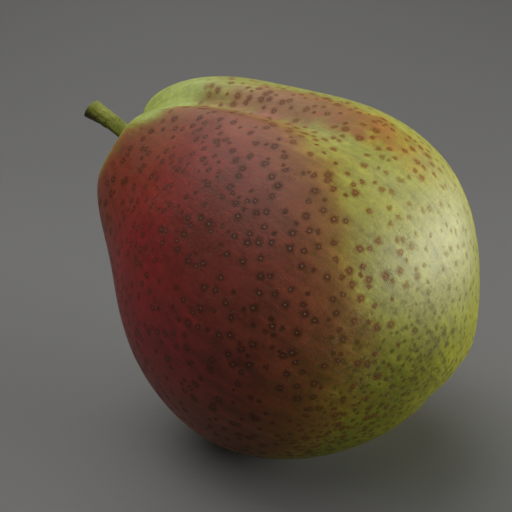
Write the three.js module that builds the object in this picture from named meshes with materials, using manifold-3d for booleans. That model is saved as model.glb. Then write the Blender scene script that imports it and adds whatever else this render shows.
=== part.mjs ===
// A squat, blushed pear lying on its side: the fruit with its two shoulders, stem cavity, groove and
// calyx basin, the woody stem in the cavity, and the dried calyx in the basin.
// Millimetres and degrees. +Z is up, and the origin is the middle of the flat spot that the fruit rests on.

import * as THREE from "three";
import { mergeVertices } from "three/addons/utils/BufferGeometryUtils.js";
import Module from "manifold-3d";

// How the fruit lies. Its growth axis runs from the core to the stem end.
const STEM_HEADING = 159.4; // seen from above, from +X towards +Y
const STEM_RISE = 33.7; // above the surface
const CORE = new THREE.Vector3(-0.5, 0.1, 37.6); // the middle of the fruit, from the origin

// The fruit's surface is given by its distance from the core. The polar angle is measured from the stem
// end, and the azimuth round the growth axis from the side that lies uppermost.
const PROFILE_RADII = [28.0, 30.0, 33.2, 34.4, 36.3, 38.4, 38.1, 38.5, 38.2]; // stem end to calyx end
const SWELLINGS = [
  { polar: 19.5, azimuth: 29, height: 11.8, spread: 28.5 }, // high shoulder
  { polar: 9, azimuth: -161, height: 10.3, spread: 25.5 }, // low shoulder
  { polar: 26, azimuth: 149, height: 2, spread: 22 }, // weak third shoulder
  { polar: 168, azimuth: 26, height: 1.9, spread: 15 }, // lip beside the calyx
];
const STEM_CAVITY = { depth: 8.5, spread: 6.9 };
const CALYX_BASIN = { depth: 3.8, spread: 5.8 };
// The groove leaves the cavity between the shoulders, and widens and fades as it runs down the body.
const GROOVE = {
  azimuth: -16,
  drift: -0.18, // change of azimuth for each degree of polar angle past its start
  start: 30,
  depth: 2.6,
  narrow: 3,
  wide: 7.5,
  rise: [3, 14],
  fade: [60, 125],
  bodyRadius: 40,
};
const RIBS = { count: 5, height: 0.15, azimuth: 24, rise: [120, 160], clear: 12 }; // towards the calyx
const REST_BLOCK = 100; // size of the block that cuts the flat spot

// The stem, as distances towards LEAN_AZIMUTH and along the growth axis from the core
const LEAN_AZIMUTH = 24;
const STEM_LINE = [
  [1.0, 33.7],
  [1.5, 44.5],
  [1.45, 49.2],
  [1.1, 53.5],
];
const STEM_RADII = [1.9, 1.8, 1.75, 1.85, 2.0, 2.25]; // root to tip, at even steps
const STEM_TIP = { rounding: 0.5, slant: 8, slantPower: 4 }; // the snapped end, and how late the slant sets in
const CLEARANCE = 0.3; // between the fruit and what is rooted in it

// The calyx: a root, and over it a short cup of dried tissue with a tuft in the middle and five sepals
const CALYX_ROOT = { radius: 1.4, depth: 1.8 };
const CUP_TOP = 1.1;
const CUP_OUTLINE = [
  [CALYX_ROOT.radius, 0.65],
  [1.7, CUP_TOP],
  [0.9, 1.3],
  [0.45, 2.0],
  [0, 2.1],
]; // distance from the axis, height over the basin's floor
const SEPALS = 5;
const SEPAL_LINE = [
  [1.15, 1.1],
  [2.2, 2.1],
  [3.1, 2.95],
]; // distance from the axis, height over the basin's floor
const SEPAL_WIDTHS = [2.0, 1.7, 0.7];
const SEPAL_THICKNESS = 0.65;

// Fineness of the surfaces
const FRUIT_RINGS = 44;
const FRUIT_SEGMENTS = 72;
const RING_CROWDING = 0.6; // rings lie closer together near both ends, where the surface bends most
const STEM_SIDES = 18;
const STEM_STEPS = 22;
const SEPAL_STEPS = 5;

const wasm = await Module();
wasm.setup();

const radians = THREE.MathUtils.degToRad;
const smoothstep = THREE.MathUtils.smoothstep;

// 0 to 1 as an angle in radians runs through a range in degrees
function rising(angle, [from, to]) {
  return smoothstep(angle, radians(from), radians(to));
}

function bell(distance, spread) {
  return Math.exp(-((distance / spread) ** 2));
}

function direction(polar, azimuth) {
  const out = Math.sin(polar);
  return new THREE.Vector3(out * Math.cos(azimuth), out * Math.sin(azimuth), Math.cos(polar));
}

// The smooth outline turned round the growth axis: a cubic B-spline over the polar angle, mirrored at
// both ends so that the surface is smooth there.
function profileRadius(polar) {
  const last = PROFILE_RADII.length - 1;
  const place = (polar / Math.PI) * last;
  const step = Math.min(Math.floor(place), last - 1);
  const f = place - step;
  const radius = (i) => PROFILE_RADII[i > last ? 2 * last - i : Math.abs(i)];
  const sum =
    (1 - f) ** 3 * radius(step - 1) +
    (3 * f ** 3 - 6 * f ** 2 + 4) * radius(step) +
    (-3 * f ** 3 + 3 * f ** 2 + 3 * f + 1) * radius(step + 1) +
    f ** 3 * radius(step + 2);
  return sum / 6;
}

function grooveDepth(polar, azimuth) {
  const past = THREE.MathUtils.radToDeg(polar) - GROOVE.start;
  const middle = radians(GROOVE.azimuth + GROOVE.drift * past);
  const turn = THREE.MathUtils.euclideanModulo(azimuth - middle + Math.PI, 2 * Math.PI) - Math.PI;
  const across = turn * Math.sin(polar) * GROOVE.bodyRadius;
  const widening = rising(polar, [GROOVE.rise[1], GROOVE.fade[1]]);
  const width = GROOVE.narrow + (GROOVE.wide - GROOVE.narrow) * widening;
  return GROOVE.depth * rising(polar, GROOVE.rise) * (1 - rising(polar, GROOVE.fade)) * bell(across, width);
}

function ribHeight(polar, azimuth) {
  const wave = Math.cos(RIBS.count * (azimuth - radians(RIBS.azimuth)));
  return RIBS.height * wave * rising(polar, RIBS.rise) * rising(Math.PI - polar, [0, RIBS.clear]);
}

function fruitRadius(polar, azimuth) {
  const towards = direction(polar, azimuth);
  let radius = profileRadius(polar);
  for (const swelling of SWELLINGS) {
    const away = towards.angleTo(direction(radians(swelling.polar), radians(swelling.azimuth)));
    radius += swelling.height * bell(away, radians(swelling.spread));
  }
  radius -= STEM_CAVITY.depth * bell(polar, radians(STEM_CAVITY.spread));
  radius -= CALYX_BASIN.depth * bell(Math.PI - polar, radians(CALYX_BASIN.spread));
  return radius - grooveDepth(polar, azimuth) + ribHeight(polar, azimuth);
}

// A closed surface from rows of points that run round it, capped by one point at each end
function closedSurface(startPoint, rows, endPoint) {
  const positions = [startPoint, ...rows.flat(), endPoint].flatMap((p) => p.toArray());
  const around = rows[0].length;
  const end = 1 + rows.length * around;
  const index = (row, i) => 1 + row * around + (i % around);
  const faces = [];
  for (let i = 0; i < around; i++) {
    faces.push(0, index(0, i), index(0, i + 1));
    faces.push(end, index(rows.length - 1, i + 1), index(rows.length - 1, i));
    for (let row = 0; row < rows.length - 1; row++) {
      faces.push(index(row, i), index(row + 1, i), index(row + 1, i + 1));
      faces.push(index(row, i), index(row + 1, i + 1), index(row, i + 1));
    }
  }
  const geometry = new THREE.BufferGeometry();
  geometry.setAttribute("position", new THREE.Float32BufferAttribute(positions, 3));
  geometry.setIndex(faces);
  return geometry;
}

function toSolid(geometry) {
  const bare = geometry.clone();
  bare.deleteAttribute("normal");
  bare.deleteAttribute("uv");
  const merged = mergeVertices(bare);
  return new wasm.Manifold(
    new wasm.Mesh({
      numProp: 3,
      vertProperties: merged.attributes.position.array,
      triVerts: new Uint32Array(merged.index.array),
    }),
  );
}

function toGeometry(solid) {
  const mesh = solid.getMesh();
  const geometry = new THREE.BufferGeometry();
  geometry.setAttribute("position", new THREE.BufferAttribute(mesh.vertProperties, 3));
  geometry.setIndex(new THREE.BufferAttribute(mesh.triVerts, 1));
  return geometry;
}

// From the growth frame, with the core at its origin, to the part's own frame
const lying = new THREE.Group();
lying.rotation.order = "ZYX";
lying.rotation.set(0, radians(STEM_RISE - 90), radians(STEM_HEADING - 180));
lying.position.copy(CORE);
lying.updateMatrix();

function leaning([out, along]) {
  return direction(Math.PI / 2, radians(LEAN_AZIMUTH)).multiplyScalar(out).setZ(along);
}

function bareFruit() {
  const point = (polar, azimuth) => direction(polar, azimuth).multiplyScalar(fruitRadius(polar, azimuth));
  const rows = [];
  for (let ring = 1; ring < FRUIT_RINGS; ring++) {
    const t = ring / FRUIT_RINGS;
    const polar = Math.PI * t - (RING_CROWDING / 2) * Math.sin(2 * Math.PI * t);
    const row = [];
    for (let i = 0; i < FRUIT_SEGMENTS; i++) row.push(point(polar, (2 * Math.PI * i) / FRUIT_SEGMENTS));
    rows.push(row);
  }
  return closedSurface(point(0, 0), rows, point(Math.PI, 0));
}

// A round pin of the growth frame between two points, as the socket that a root sits in
function pinBetween(from, to, radius) {
  const along = new THREE.Vector3().subVectors(to, from);
  const pin = new THREE.CylinderGeometry(radius, radius, along.length(), STEM_SIDES);
  const turn = new THREE.Quaternion().setFromUnitVectors(new THREE.Vector3(0, 1, 0), along.normalize());
  pin.applyQuaternion(turn);
  const middle = new THREE.Vector3().addVectors(from, to).multiplyScalar(0.5);
  return pin.translate(...middle);
}

function stemSocket() {
  const [root, knee] = STEM_LINE.slice(0, 2).map(leaning);
  const below = new THREE.Vector3().subVectors(root, knee).setLength(CLEARANCE);
  return pinBetween(root.clone().add(below), knee, STEM_RADII[0] + CLEARANCE);
}

const basinFloor = -fruitRadius(Math.PI, 0);

function calyxSocket() {
  const bottom = new THREE.Vector3(0, 0, basinFloor + CALYX_ROOT.depth + CLEARANCE);
  const mouth = new THREE.Vector3(0, 0, basinFloor - CUP_TOP);
  return pinBetween(bottom, mouth, CALYX_ROOT.radius + CLEARANCE);
}

// A block of the part's own frame that lies under the surface the fruit rests on
function restBlock() {
  const block = new THREE.BoxGeometry(REST_BLOCK, REST_BLOCK, REST_BLOCK).translate(0, 0, -REST_BLOCK / 2);
  return block.applyMatrix4(lying.matrix.clone().invert());
}

function fruitGeometry() {
  const fruit = toSolid(bareFruit())
    .subtract(toSolid(restBlock()))
    .subtract(toSolid(stemSocket()))
    .subtract(toSolid(calyxSocket()));
  return toGeometry(fruit);
}

// A round stem along its curved line, with a rounded, slightly slanted end
function stemGeometry() {
  const line = new THREE.CatmullRomCurve3(STEM_LINE.map(leaning));
  const radii = new THREE.SplineCurve(STEM_RADII.map((radius, i) => new THREE.Vector2(i, radius)));
  const side = direction(Math.PI / 2, radians(LEAN_AZIMUTH));
  const length = line.getLength();
  const rows = [];
  for (let step = 0; step <= STEM_STEPS; step++) {
    const t = step / STEM_STEPS;
    const centre = line.getPointAt(t);
    const tangent = line.getTangentAt(t);
    const across = side.clone().addScaledVector(tangent, -side.dot(tangent)).normalize();
    const other = new THREE.Vector3().crossVectors(tangent, across);
    const toEnd = (1 - t) * length;
    const inset = STEM_TIP.rounding * (1 - smoothstep(toEnd, 0, STEM_TIP.rounding));
    const radius = radii.getPoint(t).y - inset;
    const slant = Math.tan(radians(STEM_TIP.slant)) * t ** STEM_TIP.slantPower;
    const row = [];
    for (let i = 0; i < STEM_SIDES; i++) {
      const angle = (-2 * Math.PI * i) / STEM_SIDES;
      const out = radius * Math.cos(angle);
      const point = centre.clone().addScaledVector(across, out);
      point.addScaledVector(other, radius * Math.sin(angle));
      row.push(point.addScaledVector(tangent, -out * slant));
    }
    rows.push(row);
  }
  return closedSurface(line.getPoint(0), rows, line.getPoint(1));
}

// One dried sepal: a thin pointed blade that rises from the cup and leans outwards
function sepalGeometry(azimuth) {
  const spine = new THREE.SplineCurve(SEPAL_LINE.map(([out, up]) => new THREE.Vector2(out, up)));
  const widths = new THREE.SplineCurve(SEPAL_WIDTHS.map((width, i) => new THREE.Vector2(i, width)));
  const rows = [];
  for (let step = 0; step <= SEPAL_STEPS; step++) {
    const t = step / SEPAL_STEPS;
    const place = spine.getPoint(t);
    const along = spine.getTangent(t);
    const half = widths.getPoint(t).y / 2;
    const thick = SEPAL_THICKNESS / 2;
    // Six points round the blade: its two edges, and two on each face
    const section = [
      [-half, 0],
      [-half / 2, -thick],
      [half / 2, -thick],
      [half, 0],
      [half / 2, thick],
      [-half / 2, thick],
    ];
    rows.push(
      section.map(([wide, deep]) => {
        const out = place.x - along.y * deep;
        const up = place.y + along.x * deep;
        return new THREE.Vector3(out, wide, basinFloor - up);
      }),
    );
  }
  const middle = (row) => row.reduce((sum, p) => sum.add(p), new THREE.Vector3()).divideScalar(row.length);
  const blade = closedSurface(middle(rows[0]), rows, middle(rows.at(-1)));
  return blade.rotateZ(azimuth);
}

// A turned shape of the growth frame, from points of (distance from the axis, height over the basin's floor)
function turnedOnBasin(outline) {
  const points = outline.map(([out, up]) => new THREE.Vector2(out, up));
  return new THREE.LatheGeometry(points, STEM_SIDES).rotateX(-Math.PI / 2).translate(0, 0, basinFloor);
}

function calyxGeometry() {
  const { radius, depth } = CALYX_ROOT;
  let calyx = toSolid(turnedOnBasin([[0, -depth], [radius, -depth], ...CUP_OUTLINE]));
  for (let i = 0; i < SEPALS; i++) {
    calyx = calyx.add(toSolid(sepalGeometry((2 * Math.PI * i) / SEPALS)));
  }
  return toGeometry(calyx);
}

function piece(name, geometry, color, roughness) {
  geometry.computeVertexNormals();
  const mesh = new THREE.Mesh(geometry, new THREE.MeshStandardMaterial({ color, roughness, metalness: 0 }));
  mesh.name = name;
  lying.add(mesh);
}

piece("fruit", fruitGeometry(), 0x9a4a30, 0.45);
piece("stem", stemGeometry(), 0x7f8233, 0.65);
piece("calyx", calyxGeometry(), 0x4a3423, 0.85);

const pear = new THREE.Group();
pear.add(lying);

export default pear;
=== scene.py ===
import math
import random

import bpy
import numpy as np
from mathutils import Euler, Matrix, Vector, noise


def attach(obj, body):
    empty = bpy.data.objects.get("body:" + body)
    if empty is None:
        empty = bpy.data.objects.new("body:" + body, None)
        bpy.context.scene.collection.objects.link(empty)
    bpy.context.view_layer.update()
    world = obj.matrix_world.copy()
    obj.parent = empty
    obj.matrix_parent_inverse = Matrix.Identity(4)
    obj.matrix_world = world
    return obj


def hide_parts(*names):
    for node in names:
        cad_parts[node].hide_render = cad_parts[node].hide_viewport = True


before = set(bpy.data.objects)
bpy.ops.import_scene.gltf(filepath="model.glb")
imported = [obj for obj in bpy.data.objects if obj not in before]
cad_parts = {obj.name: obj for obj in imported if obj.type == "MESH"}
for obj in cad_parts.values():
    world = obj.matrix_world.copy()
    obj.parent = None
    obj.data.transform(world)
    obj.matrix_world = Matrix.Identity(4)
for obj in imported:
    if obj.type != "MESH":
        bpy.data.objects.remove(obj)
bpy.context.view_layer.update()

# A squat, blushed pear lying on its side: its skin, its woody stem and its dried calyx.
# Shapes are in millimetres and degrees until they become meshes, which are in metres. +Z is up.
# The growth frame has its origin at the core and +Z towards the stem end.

MM = 0.001

# How the fruit lies: where its growth axis points, and where the middle of the fruit is
STEM_HEADING = 159.4
STEM_RISE = 33.7
CORE = Vector((-0.5, 0.1, 37.6))
LYING_TURN = Euler((0, math.radians(STEM_RISE - 90), math.radians(STEM_HEADING - 180)))
LYING = np.array(LYING_TURN.to_matrix())

# The fruit's distance from the core, every 22.5 degrees from the stem end to the calyx end
PROFILE_RADII = np.array([28.0, 30.0, 33.2, 34.4, 36.3, 38.4, 38.1, 38.5, 38.2])
BODY_RADIUS = 40
# Swellings: polar angle, azimuth, height, spread
SWELLINGS = [
    (19.5, 29, 11.8, 28.5),  # high shoulder
    (9, -161, 10.3, 25.5),  # low shoulder
    (26, 149, 2, 22),  # weak third shoulder
    (168, 26, 1.9, 15),  # lip beside the calyx
]
CAVITY_DEPTH, CAVITY_SPREAD = 8.5, 6.9
BASIN_DEPTH, BASIN_SPREAD = 3.8, 5.8
# The groove between the shoulders
GROOVE_AZIMUTH, GROOVE_DRIFT, GROOVE_START = -16, -0.18, 30
GROOVE_DEPTH, GROOVE_NARROW, GROOVE_WIDE = 2.6, 3, 7.5
GROOVE_RISE, GROOVE_FADE = (3, 14), (60, 125)
# The very shallow ribs towards the calyx
RIB_COUNT, RIB_HEIGHT, RIB_AZIMUTH = 5, 0.15, 24
RIB_RISE, RIB_CLEAR = (120, 160), (0, 12)

# The fineness of the skin, and how far its small hollows go in
SKIN_AROUND, SKIN_ROWS, ROW_CROWDING = 384, 240, 0.6
SKIN_INSET = 0.04
DENTS = [(9.0, 0.12), (2.2, 0.03)]  # distance between dents, depth

# The stem: distance towards its lean and along the growth axis, and its radii at even steps
LEAN_AZIMUTH = 24
STEM_LINE = [(1.0, 33.7), (1.5, 44.5), (1.45, 49.2), (1.1, 53.05)]
STEM_RADII = [1.9, 1.8, 1.75, 1.85, 2.0, 2.25]
STEM_AROUND, STEM_STEPS = 72, 130
STEM_SLANT = 8
STEM_INSET = 0.06
# Below this radius its relief gets weaker
FULL_RELIEF_RADIUS = 1.5
# Ridges of the bark: how many, height, and turn from one end to the other in radians
BARK_RIDGES = [(5, 0.045, 1.5), (11, 0.03, -2)]
# Lumps of the bark: height, and how fine they are across and along the stem
BARK_LUMPS = [(0.1, 1, 9), (0.03, 6, 14)]
# The snapped end, from its rim inwards: share of the radius, and how far it lies below the tip
RIM_STEPS = [
    (0.97, -0.04),
    (0.9, 0.0),
    (0.8, 0.12),
    (0.66, 0.2),
    (0.5, 0.24),
    (0.33, 0.26),
    (0.16, 0.27),
]
RIM_FLOOR, RIM_INSET = 0.28, 0.03
# The broken fibres: height, fineness, and the slice of the noise that they take
FIBRE_HEIGHT, FIBRE_FINENESS, FIBRE_SLICE = 0.07, 7, 3

# The calyx on the floor of its basin: distance from the growth axis and height over the floor
SEPALS, STAMENS = 5, 14
CUP_OUTLINE = [
    (0.7, -0.6),
    (1.3, -0.4),
    (1.5, 0.1),
    (1.55, 0.6),
    (1.7, 1.0),
    (1.5, 1.15),
    (1.2, 0.95),
    (0.7, 0.85),
]
CUP_AROUND = 32
CUP_WAVE, CUP_RIPPLE = 0.05, 0.02  # shares of its radius
SEPAL_LINE = [(1.15, 0.9), (2.15, 1.75), (3.0, 2.75)]
SEPAL_WIDTHS = [1.9, 1.75, 0.35]
SEPAL_THICKNESS, SEPAL_WAVE, CURL_AT_ROOT = 0.2, 0.05, 0.4
SEPAL_ACROSS, SEPAL_STEPS = 9, 16
MIDRIB_HEIGHT, MIDRIB_SPREAD = 0.06, 0.15
STAMEN_RADII = [0.07, 0.05, 0.05, 0.11, 0.08]
STYLE_RADII = [0.09, 0.07, 0.06, 0.1]
THREAD_AROUND, THREAD_STEPS = 8, 12

random.seed(7)


def rising(angle, span):
    """0 to 1 as an angle runs through a span, smooth at both ends."""
    part = np.clip((angle - span[0]) / (span[1] - span[0]), 0, 1)
    return part * part * (3 - 2 * part)


def bell(distance, spread):
    """1 in the middle, falling away smoothly."""
    return np.exp(-((distance / spread) ** 2))


def direction(polar, azimuth):
    """The unit vector from the core that polar angle and azimuth give."""
    polar, azimuth = np.radians(polar), np.radians(azimuth)
    out = np.sin(polar)
    along = np.cos(polar) + 0 * azimuth
    return np.stack([out * np.cos(azimuth), out * np.sin(azimuth), along], axis=-1)


def profile_radius(polar):
    """The smooth outline turned round the growth axis, a cubic B-spline mirrored at both ends."""
    last = len(PROFILE_RADII) - 1
    place = polar / 180 * last
    step = np.minimum(np.floor(place), last - 1).astype(int)
    part = place - step

    def radius(i):
        return PROFILE_RADII[np.where(i > last, 2 * last - i, np.abs(i))]

    total = (1 - part) ** 3 * radius(step - 1)
    total += (3 * part**3 - 6 * part**2 + 4) * radius(step)
    total += (-3 * part**3 + 3 * part**2 + 3 * part + 1) * radius(step + 1)
    total += part**3 * radius(step + 2)
    return total / 6


def groove_depth(polar, azimuth):
    """The groove starts at the cavity, drifts sideways, and gets wider as it fades."""
    middle = GROOVE_AZIMUTH + GROOVE_DRIFT * (polar - GROOVE_START)
    turn = np.radians((azimuth - middle + 180) % 360 - 180)
    across = turn * np.sin(np.radians(polar)) * BODY_RADIUS
    widening = rising(polar, (GROOVE_RISE[1], GROOVE_FADE[1]))
    width = GROOVE_NARROW + (GROOVE_WIDE - GROOVE_NARROW) * widening
    strength = rising(polar, GROOVE_RISE) * (1 - rising(polar, GROOVE_FADE))
    return GROOVE_DEPTH * strength * bell(across, width)


def fruit_radius(polar, azimuth):
    """The fruit's distance from the core, with its swellings, hollows, groove and ribs."""
    towards = direction(polar, azimuth)
    radius = profile_radius(polar)
    for swelling_polar, swelling_azimuth, height, spread in SWELLINGS:
        cosine = towards @ direction(swelling_polar, swelling_azimuth)
        radius = radius + height * bell(np.degrees(np.arccos(np.clip(cosine, -1, 1))), spread)
    radius = radius - CAVITY_DEPTH * bell(polar, CAVITY_SPREAD)
    radius = radius - BASIN_DEPTH * bell(180 - polar, BASIN_SPREAD)
    wave = np.cos(RIB_COUNT * np.radians(azimuth - RIB_AZIMUTH))
    rib = RIB_HEIGHT * wave * rising(polar, RIB_RISE) * rising(180 - polar, RIB_CLEAR)
    return radius - groove_depth(polar, azimuth) + rib


def piece(name, points, faces, material, stands_for):
    """A smooth mesh object from points of the growth frame in millimetres, in place of a CAD node."""
    mesh = bpy.data.meshes.new(name)
    placed = (np.asarray(points) @ LYING.T + np.array(CORE)) * MM
    mesh.from_pydata(placed.tolist(), [], faces)
    mesh.shade_smooth()
    mesh.materials.append(material)
    mesh.validate()
    made = bpy.data.objects.new(name, mesh)
    bpy.context.scene.collection.objects.link(made)
    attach(made, "root")
    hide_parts(stands_for)
    return made


def closed_faces(rows, around, first):
    """Faces of a closed surface: a start point, rows of points that run round it, and an end point."""
    end = first + 1 + rows * around
    faces = []
    for i in range(around):
        j = (i + 1) % around
        faces.append((first, first + 1 + i, first + 1 + j))
        last_row = first + 1 + (rows - 1) * around
        faces.append((end, last_row + j, last_row + i))
        for row in range(rows - 1):
            a = first + 1 + row * around
            b = a + around
            faces.append((a + i, b + i, b + j, a + j))
    return faces


def skin_points():
    """The points of the skin, with shallow dents, and pressed flat where the fruit rests."""
    t = np.arange(1, SKIN_ROWS + 1) / (SKIN_ROWS + 1)
    polar = 180 * t - np.degrees(ROW_CROWDING / 2) * np.sin(2 * np.pi * t)
    azimuth = 360 * np.arange(SKIN_AROUND) / SKIN_AROUND
    polar_grid, azimuth_grid = np.meshgrid(polar, azimuth, indexing="ij")
    polar_all = np.concatenate([[0], polar_grid.ravel(), [180]])
    azimuth_all = np.concatenate([[0], azimuth_grid.ravel(), [0]])
    radius = fruit_radius(polar_all, azimuth_all) - SKIN_INSET
    towards = direction(polar_all, azimuth_all)
    for apart, depth in DENTS:
        for i, place in enumerate(towards * (BODY_RADIUS / apart)):
            radius[i] -= depth * (0.5 + 0.5 * noise.noise(Vector(place)))
    points = towards * radius[:, None]
    height = (points @ LYING.T)[:, 2]
    below = height < -CORE.z
    points[below] *= (-CORE.z / height[below])[:, None]
    return points


def curve_points(stops, count):
    """A smooth curve through stops, as points at even steps of its parameter."""
    stops = np.array(stops, float)
    padded = np.vstack([2 * stops[0] - stops[1], stops, 2 * stops[-1] - stops[-2]])
    place = np.linspace(0, len(stops) - 1, count)
    step = np.minimum(place.astype(int), len(stops) - 2)
    part = (place - step)[:, None]
    a, b, c, d = (padded[step + i] for i in range(4))
    squared = 2 * a - 5 * b + 4 * c - d
    cubed = 3 * b - a - 3 * c + d
    return (2 * b + (c - a) * part + squared * part**2 + cubed * part**3) / 2


def unit_tangents(spine):
    """The direction of a curve at each of its points."""
    tangents = np.gradient(spine, axis=0)
    return tangents / np.linalg.norm(tangents, axis=1)[:, None]


def stem_points():
    """The stem's points and its number of rows: a ridged, knotty tube whose snapped end has a rim."""
    line = curve_points(STEM_LINE, STEM_STEPS)
    radii = curve_points([(r,) for r in STEM_RADII], STEM_STEPS)[:, 0]
    side = direction(90, LEAN_AZIMUTH)
    centres = line[:, :1] * side + line[:, 1:] * np.array([0, 0, 1])
    tangents = unit_tangents(centres)
    angles = -2 * np.pi * np.arange(STEM_AROUND) / STEM_AROUND
    slant = math.tan(math.radians(STEM_SLANT))
    rows = []
    for step in range(STEM_STEPS):
        t = step / (STEM_STEPS - 1)
        rows.append(stem_row(centres[step], tangents[step], side, angles, radii[step], t, slant * t**4))
    # The rim turns in, and the broken fibres lie a little below it
    tip, along = centres[-1], tangents[-1]
    for share, sink in RIM_STEPS:
        radius = radii[-1] * share - RIM_INSET
        row = stem_row(tip - along * sink, along, side, angles, radius, 1.0, slant)
        fine = FIBRE_FINENESS * share
        fibres = [Vector((fine * math.cos(a), fine * math.sin(a), FIBRE_SLICE)) for a in angles]
        rough = np.array([FIBRE_HEIGHT * noise.noise(place) for place in fibres])
        rows.append(row + rough[:, None] * along)
    points = np.vstack([centres[:1], *rows, (tip - along * RIM_FLOOR)[None]])
    return points, len(rows)


def stem_row(centre, tangent, side, angles, radius, t, slant):
    """One row of points round the stem; t is its share of the stem's length."""
    across = side - side.dot(tangent) * tangent
    across /= np.linalg.norm(across)
    other = np.cross(tangent, across)
    row = []
    for angle in angles:
        relief = sum(height * math.cos(count * angle + turn * t) for count, height, turn in BARK_RIDGES)
        for height, fine, fine_along in BARK_LUMPS:
            place = (fine * math.cos(angle), fine * math.sin(angle), fine_along * t)
            relief += height * noise.noise(Vector(place))
        reach = radius - STEM_INSET + relief * min(1, radius / FULL_RELIEF_RADIUS)
        out = reach * math.cos(angle)
        row.append(centre + out * across + reach * math.sin(angle) * other - out * slant * tangent)
    return np.array(row)


def sepal_rows(line, widths, curl):
    """Rows of points round a thin pointed sepal with a midrib and edges that curl inwards."""
    spine = curve_points(line, SEPAL_STEPS)
    half = curve_points([(w,) for w in widths], SEPAL_STEPS)[:, 0] / 2
    along = unit_tangents(spine)
    across = np.linspace(-1, 1, SEPAL_ACROSS)
    thin = [(w, SEPAL_THICKNESS * (1 - abs(w) ** 3) / 2) for w in across]
    top = [(w, deep + MIDRIB_HEIGHT * bell(w, MIDRIB_SPREAD)) for w, deep in thin]
    under = [(w, -deep) for w, deep in thin[-2:0:-1]]
    rows = []
    for i in range(SEPAL_STEPS):
        t = i / (SEPAL_STEPS - 1)
        row = []
        for wide, deep in top + under:
            lift = deep + curl * wide * wide * (CURL_AT_ROOT + t)
            lift += SEPAL_WAVE * math.sin(9 * t + 3 * wide)
            out = spine[i, 0] - along[i, 1] * lift
            row.append((out, wide * half[i], spine[i, 1] + along[i, 0] * lift))
        rows.append(np.array(row))
    return rows


def thread_rows(stops, radii):
    """Rows of points round a thin round thread."""
    spine = curve_points(stops, THREAD_STEPS)
    radius = np.interp(np.linspace(0, 1, THREAD_STEPS), np.linspace(0, 1, len(radii)), radii)
    angles = 2 * np.pi * np.arange(THREAD_AROUND) / THREAD_AROUND
    rows = []
    for centre, tangent, r in zip(spine, unit_tangents(spine), radius):
        across = np.cross(tangent, (0.3, 0.9, 0.1))
        across /= np.linalg.norm(across)
        other = np.cross(tangent, across)
        rows.append(centre + r * (np.cos(angles)[:, None] * across + np.sin(angles)[:, None] * other))
    return rows


class Bunch:
    """Several closed surfaces gathered into one mesh."""

    def __init__(self):
        self.points = []
        self.faces = []

    def add(self, rows):
        first = sum(len(p) for p in self.points)
        self.points.append(np.vstack([rows[0].mean(axis=0), *rows, rows[-1].mean(axis=0)]))
        self.faces += closed_faces(len(rows), len(rows[0]), first)


def on_basin(rows, azimuth):
    """Turns rows of (out, across, height over the basin's floor) into the growth frame."""
    floor = -float(fruit_radius(np.array(180.0), np.array(0.0)))
    c, s = math.cos(azimuth), math.sin(azimuth)
    placed = []
    for row in rows:
        out, across, height = row.T
        placed.append(np.stack([c * out - s * across, s * out + c * across, floor - height], axis=1))
    return placed


def cup_rows():
    """Rows of points round the small wavy cup that carries the sepals."""
    angles = 2 * np.pi * np.arange(CUP_AROUND) / CUP_AROUND
    waves = 1 + CUP_WAVE * np.cos(5 * angles) + CUP_RIPPLE * np.sin(13 * angles)
    rows = []
    for out, height in CUP_OUTLINE:
        wavy = out * waves
        rows.append(np.stack([wavy * np.cos(angles), wavy * np.sin(angles), 0 * angles + height], axis=1))
    return rows


def calyx_bunch():
    """The dried calyx: cup, sepals, and the stamens and styles that stand between them."""
    bunch = Bunch()
    bunch.add(on_basin(cup_rows(), 0))
    for i in range(SEPALS):
        turn = 2 * math.pi * i / SEPALS + random.uniform(-0.08, 0.08)
        longer = random.uniform(0.93, 1.0)
        line = [(x * longer, y * longer) for x, y in SEPAL_LINE]
        widths = [w * random.uniform(0.92, 1.05) for w in SEPAL_WIDTHS]
        bunch.add(on_basin(sepal_rows(line, widths, random.uniform(0.18, 0.34)), turn))
    for i in range(STAMENS):
        turn = 2 * math.pi * i / STAMENS + random.uniform(-0.15, 0.15)
        reach = random.uniform(0.75, 1.25)
        height = random.uniform(1.7, 2.4)
        stops = [(0.75, 0, 0.8), (reach, 0.1, 1.3), (reach * 0.85, random.uniform(-0.4, 0.4), height)]
        bunch.add(on_basin(thread_rows(stops, STAMEN_RADII), turn))
    for i in range(SEPALS):
        turn = 2 * math.pi * (i + 0.5) / SEPALS
        stops = [(0.12, 0, 0.7), (0.16, 0.03, 1.3), (0.35, random.uniform(-0.1, 0.1), 2.0)]
        bunch.add(on_basin(thread_rows(stops, STYLE_RADII), turn))
    return bunch


def opaque(colour):
    """A colour with full alpha; another node's output stays as it is."""
    return (*colour, 1) if isinstance(colour, tuple) else colour


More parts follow.
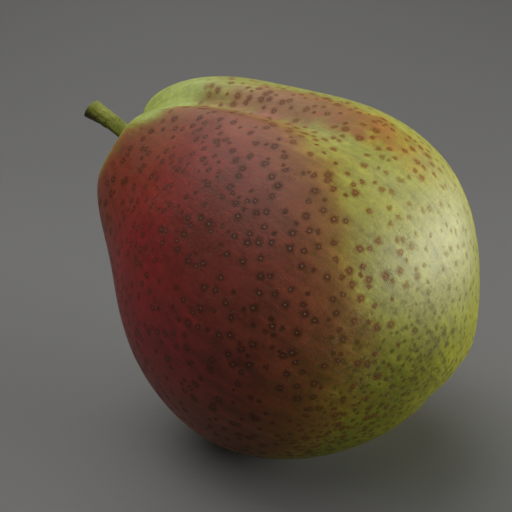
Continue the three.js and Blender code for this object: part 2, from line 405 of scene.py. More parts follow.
class Wiring:
    """Adds nodes to one node tree. A value may be a number, a colour, a vector or another node's output."""

    def __init__(self, tree):
        self.tree = tree

    def feed(self, socket, value):
        if isinstance(value, bpy.types.NodeSocket):
            self.tree.links.new(value, socket)
        else:
            socket.default_value = value

    def add(self, kind, values=None, **settings):
        node = self.tree.nodes.new(kind)
        for name, value in settings.items():
            setattr(node, name, value)
        for key, value in (values or {}).items():
            self.feed(node.inputs[key], value)
        return node

    def group(self, name, values=None):
        return self.add("ShaderNodeGroup", values, node_tree=bpy.data.node_groups[name]).outputs

    def maths(self, operation, *values, clamp=False):
        node = self.add("ShaderNodeMath", dict(enumerate(values)), operation=operation, use_clamp=clamp)
        return node.outputs[0]

    def fold(self, operation, values):
        """Joins any number of values by one operation, from the last pair back to the first value."""
        total = values[-1]
        for value in reversed(values[:-1]):
            total = self.maths(operation, value, total)
        return total

    def plus(self, *values):
        return self.fold("ADD", values)

    def times(self, *values):
        return self.fold("MULTIPLY", values)

    def weighted(self, *parts):
        """The sum of values, each times its weight."""
        return self.plus(*[value if weight == 1 else self.times(value, weight) for value, weight in parts])

    def minus(self, a, b):
        return self.maths("SUBTRACT", a, b)

    def smaller(self, a, b):
        return self.maths("MINIMUM", a, b)

    def larger(self, a, b):
        return self.maths("MAXIMUM", a, b)

    def unsigned(self, a):
        """A value without its sign."""
        return self.maths("ABSOLUTE", a)

    def opposite(self, a):
        return self.minus(1.0, a)

    def vector(self, operation, *values, out=0):
        node = self.add("ShaderNodeVectorMath", dict(enumerate(values)), operation=operation)
        return node.outputs[out]

    def scaled(self, place, factor):
        node = self.add("ShaderNodeVectorMath", {0: place, "Scale": factor}, operation="SCALE")
        return node.outputs[0]

    def rotated(self, place, turn, back=False):
        values = {"Vector": place, "Rotation": turn}
        node = self.add("ShaderNodeVectorRotate", values, rotation_type="EULER_XYZ", invert=back)
        return node.outputs[0]

    def joined(self, x, y, z):
        return self.add("ShaderNodeCombineXYZ", {0: x, 1: y, 2: z}).outputs[0]

    def split(self, place):
        return self.add("ShaderNodeSeparateXYZ", {0: place}).outputs

    def step(self, value, low, high, to_low=0.0, to_high=1.0):
        """to_low to to_high as a value runs from low to high, smooth at both ends."""
        values = {0: value, 1: low, 2: high, 3: to_low, 4: to_high}
        return self.add("ShaderNodeMapRange", values, interpolation_type="SMOOTHSTEP").outputs[0]

    def mix(self, amount, a, b, blend="MIX"):
        """Blends two colours, which are inputs 6 and 7 of the node."""
        values = {0: amount, 6: opaque(a), 7: opaque(b)}
        return self.add("ShaderNodeMix", values, data_type="RGBA", blend_type=blend).outputs[2]

    def blend_values(self, amount, a, b):
        return self.add("ShaderNodeMix", {0: amount, 2: a, 3: b}, data_type="FLOAT").outputs[0]

    def grain(self, place, scale, detail=3.0, rough=0.55, shift=0.0):
        """Soft random values from about -0.5 to 0.5; scale is in patches per unit of place."""
        if shift:
            place = self.vector("ADD", place, (shift, shift * 0.7, -shift * 1.3))
        values = {"Vector": place, "Scale": scale, "Detail": detail, "Roughness": rough}
        return self.minus(self.add("ShaderNodeTexNoise", values).outputs[0], 0.5)

    def ramp(self, value, stops):
        """Colours that a value runs through."""
        node = self.add("ShaderNodeValToRGB", {0: value})
        marks = node.color_ramp.elements
        while len(marks) < len(stops):
            marks.new(0.5)
        for mark, (place, colour) in zip(marks, stops):
            mark.position = place
            mark.color = opaque(colour)
        return node.outputs[0]


def shared_effect(name, inputs, outputs):
    """A new node group with its sockets; gives back its wiring, what comes in and what goes out."""
    tree = bpy.data.node_groups.new(name, "ShaderNodeTree")
    kinds = {"value": "NodeSocketFloat", "vector": "NodeSocketVector", "colour": "NodeSocketColor"}
    for socket_name, kind, default in inputs:
        socket = tree.interface.new_socket(socket_name, in_out="INPUT", socket_type=kinds[kind])
        socket.default_value = default
    for socket_name, kind in outputs:
        tree.interface.new_socket(socket_name, in_out="OUTPUT", socket_type=kinds[kind])
    wiring = Wiring(tree)
    come_in = wiring.add("NodeGroupInput").outputs
    go_out = wiring.add("NodeGroupOutput").inputs
    return wiring, come_in, go_out


def make_growth_place():
    """Where a point is on the fruit: its place in millimetres, its direction, polar angle and azimuth."""
    outputs = [("Place", "vector"), ("Direction", "vector"), ("Polar", "value"), ("Azimuth", "value")]
    w, _, out = shared_effect("growth_place", [], outputs)
    here = w.add("ShaderNodeTexCoord").outputs["Object"]
    lying = {"Vector": here, "Location": CORE * MM, "Rotation": LYING_TURN, "Scale": (MM, MM, MM)}
    place = w.add("ShaderNodeMapping", lying, vector_type="TEXTURE").outputs[0]
    towards = w.vector("NORMALIZE", place)
    x, y, z = w.split(towards)
    w.feed(out["Place"], place)
    w.feed(out["Direction"], towards)
    w.feed(out["Polar"], w.maths("DEGREES", w.maths("ARCCOSINE", z)))
    w.feed(out["Azimuth"], w.maths("DEGREES", w.maths("ARCTAN2", y, x)))


def make_angle_from():
    """The angle in degrees between a direction and the centre of a patch."""
    inputs = [("Direction", "vector", (0, 0, 1)), ("Centre", "vector", (0, 0, 1))]
    w, here, out = shared_effect("angle_from", inputs, [("Angle", "value")])
    cosine = w.vector("DOT_PRODUCT", here["Direction"], here["Centre"], out=1)
    w.feed(out["Angle"], w.maths("DEGREES", w.maths("ARCCOSINE", cosine)))


def make_drawn_out_place():
    """Coordinates in millimetres that are drawn out from stem to calyx, for streaks and wrinkles."""
    inputs = [("Polar", "value", 0.0), ("Azimuth", "value", 0.0), ("Drawn Out", "value", 8.0)]
    w, here, out = shared_effect("drawn_out_place", inputs, [("Place", "vector")])
    azimuth = w.maths("RADIANS", here["Azimuth"])
    along = w.maths("DIVIDE", w.times(here["Polar"], math.radians(BODY_RADIUS)), here["Drawn Out"])
    x = w.times(w.maths("COSINE", azimuth), BODY_RADIUS)
    y = w.times(w.maths("SINE", azimuth), BODY_RADIUS)
    w.feed(out["Place"], w.joined(x, y, along))


# The scatters of spots. The cells are turned, so that their rows don't follow the growth axis.
SCATTER_TURN = (0.5, 0.9, 0.3)
SCATTER_UNREST = 0.85
SECOND_SCATTER_SHIFT = 91.3
# Shares of the spacing: how far a spot may lie from the skin, and how close two spots may come
DEEPEST_SPOT, CLOSEST_SPOTS = 0.3, 0.55
# A spot that doesn't count is moved this far off
FAR_OFF = 50.0
SCATTER_INPUTS = [("Direction", "vector", (0, 0, 1)), ("Spacing", "value", 3.7), ("Shift", "value", 0.0)]


def make_spot_layer():
    """One scatter of spots on a ball of the body's radius: the distance in millimetres from the middle
    of the nearest one, the place of that middle, and the spot's own random number."""
    outputs = [("Distance", "value"), ("Middle", "vector"), ("Chance", "value")]
    w, here, out = shared_effect("spot_layer", SCATTER_INPUTS, outputs)
    ball = w.scaled(w.rotated(here["Direction"], SCATTER_TURN), BODY_RADIUS)
    shift = w.joined(here["Shift"], here["Shift"], here["Shift"])
    moved = w.vector("ADD", ball, shift)
    per_mm = w.maths("DIVIDE", 1.0, here["Spacing"])
    scatter = {"Vector": moved, "Scale": per_mm, "Randomness": SCATTER_UNREST}
    cells = w.add("ShaderNodeTexVoronoi", scatter).outputs
    seed = w.vector("SUBTRACT", cells["Position"], shift)
    off = w.unsigned(w.minus(w.vector("LENGTH", seed, out=1), BODY_RADIUS))
    middle = w.scaled(w.vector("NORMALIZE", seed), BODY_RADIUS)
    away = w.vector("DISTANCE", ball, middle, out=1)
    too_deep = w.maths("GREATER_THAN", off, w.times(here["Spacing"], DEEPEST_SPOT))
    w.feed(out["Distance"], w.plus(away, w.times(too_deep, FAR_OFF)))
    w.feed(out["Middle"], w.rotated(middle, SCATTER_TURN, back=True))
    w.feed(out["Chance"], w.add("ShaderNodeSeparateColor", {0: cells["Color"]}).outputs[0])


def make_spots():
    """Two scatters of spots, the second kept clear of the first."""
    outputs = [("Distance", "value"), ("Chance", "value")]
    w, here, out = shared_effect("skin_spots", SCATTER_INPUTS, outputs)
    towards, spacing, shift = here["Direction"], here["Spacing"], here["Shift"]
    first = w.group("spot_layer", {0: towards, 1: spacing, 2: shift})
    second = w.group("spot_layer", {0: towards, 1: spacing, 2: w.plus(shift, SECOND_SCATTER_SHIFT)})
    second_middle = w.vector("NORMALIZE", second["Middle"])
    beside_first = w.group("spot_layer", {0: second_middle, 1: spacing, 2: shift})
    crowded = w.maths("LESS_THAN", beside_first["Distance"], w.times(spacing, CLOSEST_SPOTS))
    second_distance = w.plus(second["Distance"], w.times(crowded, FAR_OFF))
    nearer = w.maths("LESS_THAN", second_distance, first["Distance"])
    w.feed(out["Distance"], w.smaller(first["Distance"], second_distance))
    w.feed(out["Chance"], w.blend_values(nearer, first["Chance"], second["Chance"]))


# Colours of the skin
CRIMSON = (0.34, 0.026, 0.024)
RED_BROWN = (0.34, 0.048, 0.03)
ROSE_BROWN = (0.35, 0.082, 0.038)
ORANGE_BROWN = (0.36, 0.13, 0.042)
TAWNY = (0.4, 0.205, 0.05)
YELLOW_BROWN = (0.44, 0.32, 0.05)
YELLOW_GREEN = (0.44, 0.44, 0.085)
BASE_GREEN = (0.29, 0.3, 0.016)
CAVITY_GREEN = (0.55, 0.65, 0.15)
SHOULDER_PINK = (0.6, 0.32, 0.18)
VEIL_PURPLE = (0.18, 0.055, 0.042)
# A pale colour laid on as painted sheen where the key light's highlight falls
PAINTED_SHEEN_PALE = (0.58, 0.57, 0.38)
HAIRLINE_BROWN = (0.16, 0.09, 0.045)
WRINKLE_BROWN = (0.1, 0.07, 0.03)
MARK_OLIVE = (0.14, 0.122, 0.0)
# A colour multiplied over the underside as painted shade
PAINTED_UNDERSIDE_SHADE = (0.33, 0.33, 0.08)

# What the skin turns into as the blush gets stronger
BLUSH_COLOURS = [
    (0.1, YELLOW_BROWN),
    (0.2, TAWNY),
    (0.32, ORANGE_BROWN),
    (0.48, ROSE_BROWN),
    (0.73, RED_BROWN),
    (1.0, CRIMSON),
]

# Colours of a spot: its halo on each ground, and its small middle
HALO_ON_YELLOW = (0.25, 0.08, 0.0)
HALO_ON_BROWN = (0.14, 0.026, 0.003)
HALO_ON_RED = (0.1, 0.022, 0.01)
HALO_IN_VEIL = (0.085, 0.032, 0.016)
HALO_ON_GREEN = (0.24, 0.13, 0.003)
HALO_AT_BASE = (0.12, 0.095, 0.0)
MIDDLE_ON_RED = (0.42, 0.27, 0.19)
MIDDLE_ON_GREEN = (0.34, 0.28, 0.12)

# Distances between spots and between the smaller marks, as the spacing of one scatter
SPOT_SPACING, MARK_SPACING = 2.75, 1.75
# The smaller marks take another part of the scatter
MARK_SHIFT = 37.7
# A spot's radius in millimetres: the smallest, what its chance adds, and its share on green
SPOT_RADIUS, SPOT_EXTRA, SHARE_ON_GREEN = 0.45, 0.6, 0.75
# Where the halo ends and is full, in shares of that radius: its dark part and its soft edge
HALO_DARK, HALO_SOFT = (1.1, 0.35), (1.6, 0.6)
# Where a spot's small middle and a smaller mark end and are full, in millimetres
MIDDLE_EDGE, MARK_EDGE = (0.24, 0.06), (0.6, 0.18)
# How many times longer than wide the streaks and the wrinkles are
STREAK_LENGTH, WRINKLE_LENGTH = 7.0, 2.5

# The main blush: its middle as polar angle and azimuth, its reach, and how much of that it fades over
BLUSH_MIDDLE, BLUSH_REACH, BLUSH_FADE = (64.0, -104.0), 76.0, 59.0
# Patches: polar angle and azimuth of the middle, unrest of the edge, and the angles from the middle
# at which the patch ends and is full
NEAR_SHOULDER = (58.0, -44.0, 0.6, 30.0, 8.0)
YELLOW_SIDE = (112.0, -44.0, 0.6, 26.0, 7.0)
FAR_SHOULDER = (17.0, 8.0, 10.0, 22.0, 12.0)
NEAR_VEIL = (84.0, -70.0, 1.4, 48.0, 8.0)
# The pale side is a patch of painted sheen
PAINTED_SHEEN_SIDE = (124.0, -27.0, 1.2, 34.0, 6.0)
SHADED_END = (140.0, -100.0, 0.5, 50.0, 24.0)
# The underside patch is where the painted shade lies
UNDERSIDE_SHADE_PATCH = (133.0, -104.0, 1.2, 56.0, 14.0)
# The paler stripe and the second blush: azimuth, and the angles across at which they end and are full
STRIPE_AZIMUTH, STRIPE_EDGE = -8.0, (7.0, 1.5)
SECOND_AZIMUTH, SECOND_EDGE = -14.0, (13.0, 0.0)
# Polar angles at which things are absent and full
STRIPE_BEGINS, STRIPE_ENDS = (28.0, 48.0), (108.0, 88.0)
SECOND_BEGINS, SECOND_ENDS = (30.0, 54.0), (124.0, 76.0)
STEM_END, BASE_END, PINK_PART = (20.0, 9.0), (112.0, 146.0), (76.0, 48.0)
SPOTS_BEGIN, MARKS_BEGIN = (13.0, 24.0), (100.0, 136.0)
# How much the parts of the blush add or take, and how strongly each layer covers the skin
SECOND_STRENGTH, STRIPE_LOSS, NEAR_SHOULDER_GAIN, YELLOW_SIDE_LOSS = 0.27, 0.28, 0.16, 0.13
# The third cover here is the strength of the pale painted sheen
PINK_COVER, VEIL_COVER, PAINTED_SHEEN_COVER, HAIRLINE_COVER = 0.35, 0.5, 0.38, 0.3
# The underside cover is how strongly the painted shade darkens the underside
MARK_COVER, UNDERSIDE_SHADE_COVER = 0.85, 0.9
SKIN_ROUGHNESS = 0.46


class SkinPaint(Wiring):
    """The wiring of the skin's colour, with the places, unrest and blush that its layers share."""

    def __init__(self, tree):
        super().__init__(tree)
        on_fruit = self.group("growth_place")
        self.place, self.towards = on_fruit["Place"], on_fruit["Direction"]
        self.polar, self.azimuth = on_fruit["Polar"], on_fruit["Azimuth"]
        drawn = self.drawn_out(STREAK_LENGTH)
        # Unrest of five sizes: patches of 15, 4.5, 1.3 and 0.55 mm, and streaks 1.8 mm wide
        self.clouds = self.grain(self.place, 1 / 15, 3.0)
        self.blotches = self.grain(self.place, 1 / 4.5, 4.0, 0.6, 40.0)
        self.mottle = self.grain(self.place, 1 / 1.3, 3.0, 0.6, 80.0)
        self.specks = self.grain(self.place, 1 / 0.55, 3.0, 0.6, 120.0)
        self.streaks = self.grain(drawn, 1 / 1.8, 3.0, 0.6, 20.0)
        # How many degrees the edges of the patches wander
        self.wander = self.weighted((self.clouds, 16.0), (self.streaks, 12.0), (self.blotches, 14.0))

    def drawn_out(self, length):
        return self.group("drawn_out_place", {0: self.polar, 1: self.azimuth, 2: length})["Place"]

    def angle_from(self, polar, azimuth):
        centre = tuple(direction(polar, azimuth))
        return self.group("angle_from", {0: self.towards, 1: centre})["Angle"]

    def patch(self, shape, unrest):
        """1 within a patch of the skin and 0 outside it."""
        polar, azimuth, unrest_share, ends, full = shape
        angle = self.plus(self.angle_from(polar, azimuth), self.times(unrest, unrest_share))
        return self.step(angle, ends, full)

    def lay(self, amount, colour, blend="MIX"):
        """Lays a colour over what the skin has so far."""
        self.colour = self.mix(amount, self.colour, colour, blend)

    def spread_blush(self):
        """How red the skin is: the main blush, and a paler second one on the far shoulder."""
        self.blush_angle = self.plus(self.angle_from(*BLUSH_MIDDLE), self.wander)
        blush = self.maths("DIVIDE", self.minus(BLUSH_REACH, self.blush_angle), BLUSH_FADE, clamp=True)
        unrest = self.plus(self.clouds, self.blotches)

        # A paler stripe between them
        stripe_azimuth = self.plus(self.azimuth, self.times(unrest, 12.0))
        stripe_azimuth = self.plus(stripe_azimuth, self.times(self.polar, 0.3))
        stripe = self.step(self.unsigned(self.plus(stripe_azimuth, -STRIPE_AZIMUTH)), *STRIPE_EDGE)
        ends = self.step(self.polar, *STRIPE_BEGINS), self.step(self.polar, *STRIPE_ENDS)
        stripe = self.times(stripe, *ends)
        blush = self.times(blush, self.opposite(self.times(stripe, STRIPE_LOSS)))

        second_azimuth = self.plus(self.azimuth, -SECOND_AZIMUTH, self.times(unrest, 22.0))
        second = self.step(self.unsigned(second_azimuth), *SECOND_EDGE)
        ends = self.step(self.polar, *SECOND_BEGINS), self.step(self.polar, *SECOND_ENDS)
        self.second_blush = self.times(second, *ends)
        blush = self.larger(blush, self.times(self.second_blush, SECOND_STRENGTH))

        # It reaches further by the near shoulder, and stops short on the yellow side
        near_shoulder = self.patch(NEAR_SHOULDER, self.wander)
        blush = self.plus(blush, self.times(near_shoulder, NEAR_SHOULDER_GAIN))
        yellow_side = self.patch(YELLOW_SIDE, self.wander)
        blush = self.larger(self.minus(blush, self.times(yellow_side, YELLOW_SIDE_LOSS)), 0.0)

        # The skin stays green round the stem, further out on the far shoulder
        near_stem = self.step(self.plus(self.polar, self.times(self.blotches, 10.0)), *STEM_END)
        self.far_shoulder = self.patch(FAR_SHOULDER, self.blotches)
        self.stem_end = self.larger(near_stem, self.far_shoulder)
        blush = self.times(blush, self.opposite(self.stem_end))
        unrest = self.weighted((self.mottle, 0.9), (self.streaks, 1), (self.blotches, 1.2))
        self.blush = self.plus(blush, self.times(unrest, self.step(blush, 0.0, 0.35), 0.26))

    def paint_ground(self):
        """The green ground with the blush over it, pink where the second blush is thin."""
        self.base_end = self.step(self.plus(self.polar, self.times(self.clouds, 20.0)), *BASE_END)
        ground = self.mix(self.base_end, YELLOW_GREEN, BASE_GREEN)
        ground = self.mix(self.stem_end, ground, CAVITY_GREEN)
        blushed = self.ramp(self.blush, BLUSH_COLOURS)
        self.colour = self.mix(self.step(self.blush, 0.0, 0.15), ground, blushed)
        upper_part = self.step(self.polar, *PINK_PART)
        pink = self.times(self.second_blush, upper_part, self.opposite(self.stem_end))
        self.lay(self.times(pink, PINK_COVER), SHOULDER_PINK)

    def lay_veils(self):
        """A dull purple veil in the middle of the near side, and a pale patch of painted sheen towards the
        right, where the key light's highlight falls.
        """
        self.veil = self.patch(NEAR_VEIL, self.wander)
        self.lay(self.times(self.veil, VEIL_COVER), VEIL_PURPLE)
        # Painted sheen: a pale colour laid where the key light's highlight falls
        self.pale = self.patch(PAINTED_SHEEN_SIDE, self.wander)
        self.lay(self.times(self.pale, PAINTED_SHEEN_COVER), PAINTED_SHEEN_PALE)

    def vary_lightness(self):
        """Cloudy and mottled variation in lightness."""
        unrest = self.weighted((self.mottle, 0.6), (self.blotches, 0.5), (self.streaks, 0.7))
        light = self.plus(1.0, unrest, self.times(self.specks, 0.45))
        grey = self.add("ShaderNodeCombineColor", {0: light, 1: light, 2: light}).outputs[0]
        self.lay(1.0, grey, "MULTIPLY")

    def draw_hairlines(self):
        """Hairlines where the blush runs out."""
        line = self.step(self.unsigned(self.grain(self.place, 1 / 2.2, 2.0, 0.5, 160.0)), 0.014, 0.0)
        blush_edge = self.times(self.step(self.blush, 0.0, 0.15), self.step(self.blush, 0.75, 0.5))
        lines = self.times(line, self.plus(0.12, blush_edge), self.step(self.blotches, -0.05, 0.12))
        self.lay(self.times(lines, HAIRLINE_COVER), HAIRLINE_BROWN)

    def draw_wrinkles(self):
        """Fine dry wrinkles in patches."""
        bend = self.add("ShaderNodeTexNoise", {"Vector": self.place, "Scale": 0.7}).outputs["Color"]
        bent = self.vector("ADD", self.drawn_out(WRINKLE_LENGTH), bend)
        net = self.add("ShaderNodeTexVoronoi", {"Vector": bent, "Scale": 1.9}, feature="DISTANCE_TO_EDGE")
        wrinkles = self.step(net.outputs["Distance"], 0.11, 0.0)
        patches = self.step(self.grain(self.place, 1 / 6.0, 3.0, 0.6, 200.0), -0.05, 0.15)
        self.wrinkles = self.times(wrinkles, patches, self.step(self.specks, -0.1, 0.1))
        self.lay(self.times(self.wrinkles, self.step(self.blush, 0.0, 0.15, 0.2, 0.6)), WRINKLE_BROWN)

    def scatter_spots(self):
        """The spots: a ragged halo, and in most of them a small middle. None stand at the stem end."""
        away_from_blush = self.step(self.blush_angle, 70.0, 90.0)
        self.on_green = self.times(self.step(self.blush, 0.07, 0.0), away_from_blush)
        spots = self.group("skin_spots", {0: self.towards, 1: SPOT_SPACING, 2: 0.0})
        spotted = self.step(self.plus(self.polar, self.times(self.clouds, 8.0)), *SPOTS_BEGIN)
        spotted = self.times(spotted, self.opposite(self.far_shoulder))
        ragged = self.weighted((self.specks, 0.8), (self.mottle, 0.6))
        ragged = self.times(ragged, self.plus(1.0, self.times(self.on_green, 0.5)))
        near = self.larger(self.plus(spots["Distance"], ragged), 0.0)
        radius = self.plus(SPOT_RADIUS, self.times(spots["Chance"], SPOT_EXTRA))
        radius = self.times(radius, self.blend_values(self.on_green, 1.0, SHARE_ON_GREEN))
        share = self.maths("DIVIDE", near, radius)
        halo = self.weighted((self.step(share, *HALO_DARK), 0.7), (self.step(share, *HALO_SOFT), 0.3))
        self.halo = self.times(halo, spotted)
        near_middle = self.plus(spots["Distance"], self.times(self.specks, 0.4))
        middle = self.times(self.step(near_middle, *MIDDLE_EDGE), spotted)
        self.middle = self.times(middle, self.step(spots["Chance"], 0.2, 0.5))

    def colour_spots(self):
        """The halos are dark brown on red, and lighter and warmer on yellow and green."""
        on_red = self.step(self.blush, 0.5, 0.85)
        halo_colour = self.mix(self.step(self.blush, 0.16, 0.4), HALO_ON_YELLOW, HALO_ON_BROWN)
        grounds = [
            (on_red, HALO_ON_RED),
            (self.times(self.veil, 0.8), HALO_IN_VEIL),
            (self.on_green, HALO_ON_GREEN),
            (self.times(self.base_end, self.on_green), HALO_AT_BASE),
        ]
        for ground, colour in grounds:
            halo_colour = self.mix(ground, halo_colour, colour)
        halo_amount = self.blend_values(on_red, self.blend_values(self.on_green, 0.95, 0.75), 0.75)
        # Halos are fainter under the pale painted sheen
        halo_amount = self.times(halo_amount, self.opposite(self.times(self.pale, 0.35)))
        self.lay(self.times(self.halo, halo_amount), halo_colour)
        middle_colour = self.mix(self.on_green, MIDDLE_ON_RED, MIDDLE_ON_GREEN)
        middle_amount = self.blend_values(self.on_green, self.blend_values(on_red, 0.6, 0.5), 0.25)
        self.lay(self.times(self.middle, middle_amount), middle_colour)

    def scatter_marks(self):
        """Smaller marks between the spots, closer together towards the calyx."""
        marks = self.group("skin_spots", {0: self.towards, 1: MARK_SPACING, 2: MARK_SHIFT})
        near = self.plus(marks["Distance"], self.weighted((self.specks, 0.8), (self.mottle, 0.5)))
        amount = self.times(self.step(near, *MARK_EDGE), self.step(self.polar, *MARKS_BEGIN))
        amount = self.times(amount, self.blend_values(self.patch(SHADED_END, self.wander), 0.35, 1.0))
        # Marks are fainter under the pale painted sheen
        amount = self.times(amount, self.opposite(self.times(self.pale, 0.6)))
        self.lay(self.times(amount, MARK_COVER), MARK_OLIVE)

    def paint_underside_shade(self):
        """Painted shade: the skin is darkened towards the underside."""
        # Painted shade: a multiply that darkens the skin towards the underside
        underside_shade = self.patch(UNDERSIDE_SHADE_PATCH, self.wander)
        self.lay(self.times(underside_shade, UNDERSIDE_SHADE_COVER), PAINTED_UNDERSIDE_SHADE, "MULTIPLY")

    def relief(self):
        """Bumps of the texture and the spots' middles, with the halos and wrinkles sunk."""
        texture = self.weighted((self.mottle, 0.5), (self.specks, 0.35))
        sunk = self.weighted((self.halo, 0.1), (self.wrinkles, 0.3))
        return self.plus(texture, self.minus(self.times(self.middle, 0.25), sunk))

    def roughness(self):
        """A satin skin, slightly duller on the halos."""
        unrest = self.weighted((self.mottle, 0.2), (self.specks, 0.2), (self.halo, 0.1))
        return self.plus(SKIN_ROUGHNESS, unrest)


def make_skin_colour():
    """The skin: green ground, the red blush over it, and the spots, with their relief and shine."""
    outputs = [("Colour", "colour"), ("Height", "value"), ("Roughness", "value")]
    w, _, out = shared_effect("skin_colour", [], outputs)
    skin = SkinPaint(w.tree)
    skin.spread_blush()
    skin.paint_ground()
    skin.lay_veils()
    skin.vary_lightness()
    skin.draw_hairlines()
    skin.draw_wrinkles()
    skin.scatter_spots()
    skin.colour_spots()
    skin.scatter_marks()
    skin.paint_underside_shade()
    w.feed(out["Colour"], skin.colour)
    w.feed(out["Height"], skin.relief())
    w.feed(out["Roughness"], skin.roughness())


# Colours of the stem and the calyx
BARK_GREEN, BARK_PALE_GREEN = (0.29, 0.32, 0.04), (0.47, 0.5, 0.1)
FLECK_BROWN = (0.13, 0.1, 0.02)
RIM_BROWN = (0.13, 0.075, 0.03)
# A dark brown laid on one side of the stem as painted shade
BARK_PAINTED_SHADE = (0.05, 0.026, 0.016)
CALYX_BLACK, CALYX_GREY = (0.045, 0.028, 0.018), (0.16, 0.105, 0.06)
# The direction of the stem's side that is darkened by painted shade, and where on the growth axis its rim
# turns brown
PAINTED_SHADE_SIDE = (-0.92, -0.39, 0.0)
RIM_BROWNS_FROM, RIM_BROWNS_TO = 51.4, 53.2


def make_stem_colour():
    """Young bark: yellow-green with brown flecks, browner at the snapped rim, and darkened on one side by
    painted shade.
    """
    w, _, out = shared_effect("stem_colour", [], [("Colour", "colour"), ("Height", "value")])
    place = w.group("growth_place")["Place"]
    x, y, z = w.split(place)
    fibres = w.grain(w.joined(x, y, w.times(z, 0.22)), 2.4, 4.0, 0.6)
    flecks = w.grain(place, 1.9, 4.0, 0.65, 30.0)
    clouds = w.grain(place, 0.5, 2.0, 0.5, 60.0)
    unrest = w.plus(clouds, fibres)
    colour = w.mix(w.step(unrest, -0.25, 0.25), BARK_GREEN, BARK_PALE_GREEN)
    colour = w.mix(w.times(w.step(flecks, 0.04, 0.16), 0.7), colour, FLECK_BROWN)
    near_rim = w.step(w.plus(z, w.times(unrest, 1.6)), RIM_BROWNS_FROM, RIM_BROWNS_TO)
    colour = w.mix(w.times(near_rim, 0.25), colour, RIM_BROWN)
    # Painted shade: the stem's side that faces away from the lights is darkened
    shaded = w.vector("DOT_PRODUCT", place, PAINTED_SHADE_SIDE, out=1)
    side_shade = w.step(w.plus(shaded, w.times(flecks, 1.2)), -0.85, 0.2)
    w.feed(out["Colour"], w.mix(w.times(side_shade, 0.85), colour, BARK_PAINTED_SHADE))
    w.feed(out["Height"], w.plus(fibres, w.times(flecks, 0.7)))


def make_calyx_colour():
    """Dried tissue: brown-black with greyer patches."""
    w, _, out = shared_effect("calyx_colour", [], [("Colour", "colour"), ("Height", "value")])
    place = w.group("growth_place")["Place"]
    grain = w.grain(place, 3.0, 4.0, 0.65)
    clouds = w.grain(place, 0.8, 2.0, 0.5, 25.0)
    w.feed(out["Colour"], w.mix(w.step(w.plus(grain, clouds), -0.2, 0.3), CALYX_BLACK, CALYX_GREY))
    w.feed(out["Height"], grain)


def material(name, effect, bump_height, gloss, roughness=None):
    """A material with an effect's colour and relief, and with its shine where no roughness is given."""
    made = bpy.data.materials.new(name)
    made.use_nodes = True
    w = Wiring(made.node_tree)
    surface = made.node_tree.nodes["Principled BSDF"]
    look = w.group(effect)
    w.feed(surface.inputs["Base Color"], look["Colour"])
    w.feed(surface.inputs["Roughness"], roughness if roughness else look["Roughness"])
    relief = {"Height": look["Height"], "Strength": 1.0, "Distance": bump_height * MM}
    w.feed(surface.inputs["Normal"], w.add("ShaderNodeBump", relief).outputs[0])
    surface.inputs["Specular IOR Level"].default_value = gloss
    return made


# The studio is in metres. The floor is level in front and bends up behind the fruit.
FLOOR_GREY, FLOOR_ROUGHNESS = 0.2, 0.8
FLOOR_HALF_WIDTH, FLOOR_FRONT, FLOOR_BACK, FLOOR_RISE = 2.0, -1.0, 1.3, 1.6
FLOOR_BEND, BEND_STEPS = 0.95, 16
FLOOR_DROP = 0.00005
SURROUNDINGS_GREY, SURROUNDINGS_STRENGTH = 0.5, 0.02

WARM, WHITE = (1.0, 0.985, 0.94), (1.0, 1.0, 1.0)
LIGHT_DISTANCE = 1.0
# Soft lights: direction from the core, width and height, power in watts, colour
LIGHTS = {
    "key": ((0.91, -0.4, 0.13), (0.6, 0.3), 5.8, WARM),
    "right": ((0.95, 0.15, 0.13), (0.6, 0.3), 3.6, WARM),
    "overhead": ((-0.35, 0.25, 1.0), (1.0, 1.0), 5.1, WARM),
    "front_left": ((-0.35, -0.6, 1.3), (0.7, 0.7), 2.3, WHITE),
    "back": ((0.0, 0.8, 1.0), (0.6, 0.6), 0.7, WHITE),
}

# The camera's place in millimetres, and how far it looks down
CAMERA_PLACE = Vector((-6.0, -139.5, 76.9))
CAMERA_DOWN = 15
LENS, SENSOR_WIDTH = 50, 36
CAMERA_NEAREST = 0.01


def softbox(name, towards, size, power, colour):
    """An area light that looks at the core from a direction."""
    light = bpy.data.lights.new(name, "AREA")
    light.shape = "RECTANGLE"
    light.size, light.size_y = size
    light.energy = power
    light.color = colour
    made = bpy.data.objects.new(name, light)
    made.visible_camera = False
    made.location = CORE * MM + Vector(towards).normalized() * LIGHT_DISTANCE
    made.rotation_euler = (CORE * MM - made.location).to_track_quat("-Z", "Y").to_euler()
    bpy.context.scene.collection.objects.link(made)


def floor_material():
    made = bpy.data.materials.new("pale_floor")
    made.use_nodes = True
    surface = made.node_tree.nodes["Principled BSDF"]
    surface.inputs["Base Color"].default_value = (FLOOR_GREY, FLOOR_GREY, FLOOR_GREY, 1)
    surface.inputs["Roughness"].default_value = FLOOR_ROUGHNESS
    return made


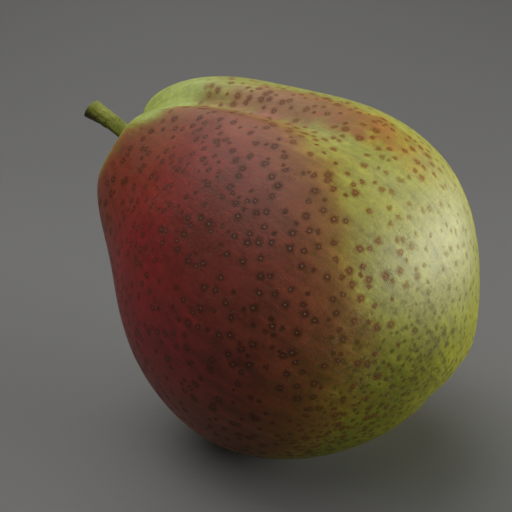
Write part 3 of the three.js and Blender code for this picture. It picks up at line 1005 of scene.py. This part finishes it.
def lay_floor():
    """A pale seamless floor: level, then a quarter turn, then upright."""
    bend_start = FLOOR_BACK - FLOOR_BEND
    profile = [(FLOOR_FRONT, 0.0), (bend_start, 0.0)]
    for i in range(1, BEND_STEPS + 1):
        angle = math.pi / 2 * i / BEND_STEPS
        y = bend_start + FLOOR_BEND * math.sin(angle)
        profile.append((y, FLOOR_BEND - FLOOR_BEND * math.cos(angle)))
    profile.append((FLOOR_BACK, FLOOR_RISE))
    sides = (-FLOOR_HALF_WIDTH, FLOOR_HALF_WIDTH)
    points = [(x, y, z - FLOOR_DROP) for y, z in profile for x in sides]
    faces = [(2 * i, 2 * i + 1, 2 * i + 3, 2 * i + 2) for i in range(len(profile) - 1)]
    mesh = bpy.data.meshes.new("floor")
    mesh.from_pydata(points, [], faces)
    mesh.shade_smooth()
    mesh.materials.append(floor_material())
    floor = bpy.data.objects.new("floor", mesh)
    bpy.context.scene.collection.objects.link(floor)


def studio():
    """The floor, soft lights, and the camera at the height of a look across a table."""
    lay_floor()
    for name, (towards, size, power, colour) in LIGHTS.items():
        softbox(name, towards, size, power, colour)
    world = bpy.data.worlds.new("surroundings")
    world.use_nodes = True
    surroundings = world.node_tree.nodes["Background"].inputs
    surroundings["Color"].default_value = (SURROUNDINGS_GREY, SURROUNDINGS_GREY, SURROUNDINGS_GREY, 1)
    surroundings["Strength"].default_value = SURROUNDINGS_STRENGTH
    bpy.context.scene.world = world

    camera_data = bpy.data.cameras.new("camera")
    camera_data.lens = LENS
    camera_data.sensor_width = SENSOR_WIDTH
    camera_data.clip_start = CAMERA_NEAREST
    camera = bpy.data.objects.new("camera", camera_data)
    camera.location = CAMERA_PLACE * MM
    camera.rotation_euler = (math.radians(90 - CAMERA_DOWN), 0, 0)
    bpy.context.scene.collection.objects.link(camera)
    bpy.context.scene.camera = camera
    bpy.context.scene.view_settings.view_transform = "Standard"


make_growth_place()
make_angle_from()
make_drawn_out_place()
make_spot_layer()
make_spots()
make_skin_colour()
make_stem_colour()
make_calyx_colour()

# The height of the bumps is in millimetres
skin_material = material("pear_skin", "skin_colour", bump_height=0.14, gloss=0.35)
stem_material = material("stem_bark", "stem_colour", bump_height=0.12, gloss=0.35, roughness=0.62)
calyx_material = material("dried_calyx", "calyx_colour", bump_height=0.2, gloss=0.3, roughness=0.85)

skin = piece("pear_skin", skin_points(), closed_faces(SKIN_ROWS, SKIN_AROUND, 0), skin_material, "fruit")
stem_all, stem_rows = stem_points()
stem = piece("pear_stem", stem_all, closed_faces(stem_rows, STEM_AROUND, 0), stem_material, "stem")
dried = calyx_bunch()
calyx = piece("pear_calyx", np.vstack(dried.points), dried.faces, calyx_material, "calyx")

studio()
